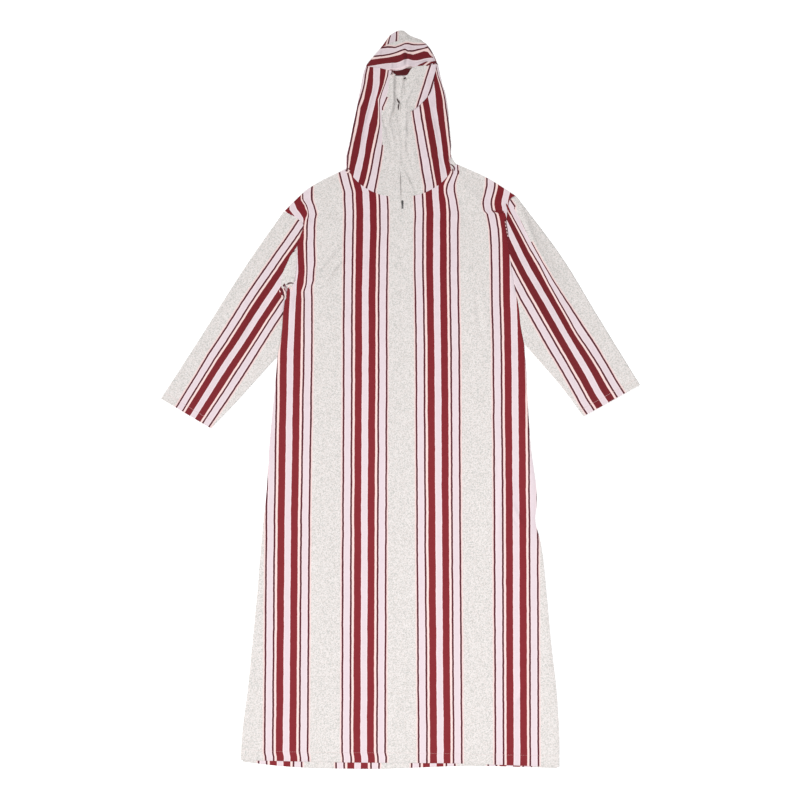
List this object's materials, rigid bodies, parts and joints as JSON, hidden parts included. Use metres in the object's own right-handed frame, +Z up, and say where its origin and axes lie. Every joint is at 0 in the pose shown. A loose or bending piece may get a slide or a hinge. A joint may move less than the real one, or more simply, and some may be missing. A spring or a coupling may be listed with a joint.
{
  "type": "hooded abaya (djellaba)",
  "caption": "Long hooded striped robe with set-in sleeves and a zip at the neck, laid flat with its front up.",
  "frame": {"origin": "under the middle of the garment's outline, on the surface that it lies on", "axes": "+Y from the hem towards the hood, +Z up out of the front, +X to the right of somebody looking at the front"},
  "size_m": [1.1246, 1.7336, 0.0078],
  "materials": {
    "striped_cloth": "matte woven cotton, off-white with dark red stripes",
    "gusset_cloth": "matte woven cotton, off-white with fine specks",
    "zip_metal": "black lacquer, slightly worn"
  },
  "bodies": {
    "robe": {"body_front": "striped_cloth", "body_back": "striped_cloth", "hem_back": "striped_cloth", "sleeve_left": "striped_cloth", "sleeve_right": "striped_cloth", "gusset_left": "gusset_cloth", "gusset_right": "gusset_cloth", "hood_back": "striped_cloth", "hood_left": "striped_cloth", "hood_right": "striped_cloth", "hood_brow": "striped_cloth", "hood_crown": "striped_cloth", "hood_flap": "striped_cloth", "hood_peak": "striped_cloth", "zip_slider": "zip_metal"},
    "zip_pull": {"zip_pull": "zip_metal"}
  },
  "joints": [
    {"name": "zip_pull_hinge", "type": "hinge", "parent": "robe", "child": "zip_pull", "pos_m": [0.0045, 0.46195, 0.0059], "axis": [-1, 0, 0], "range_deg": [0, 165]}
  ]
}
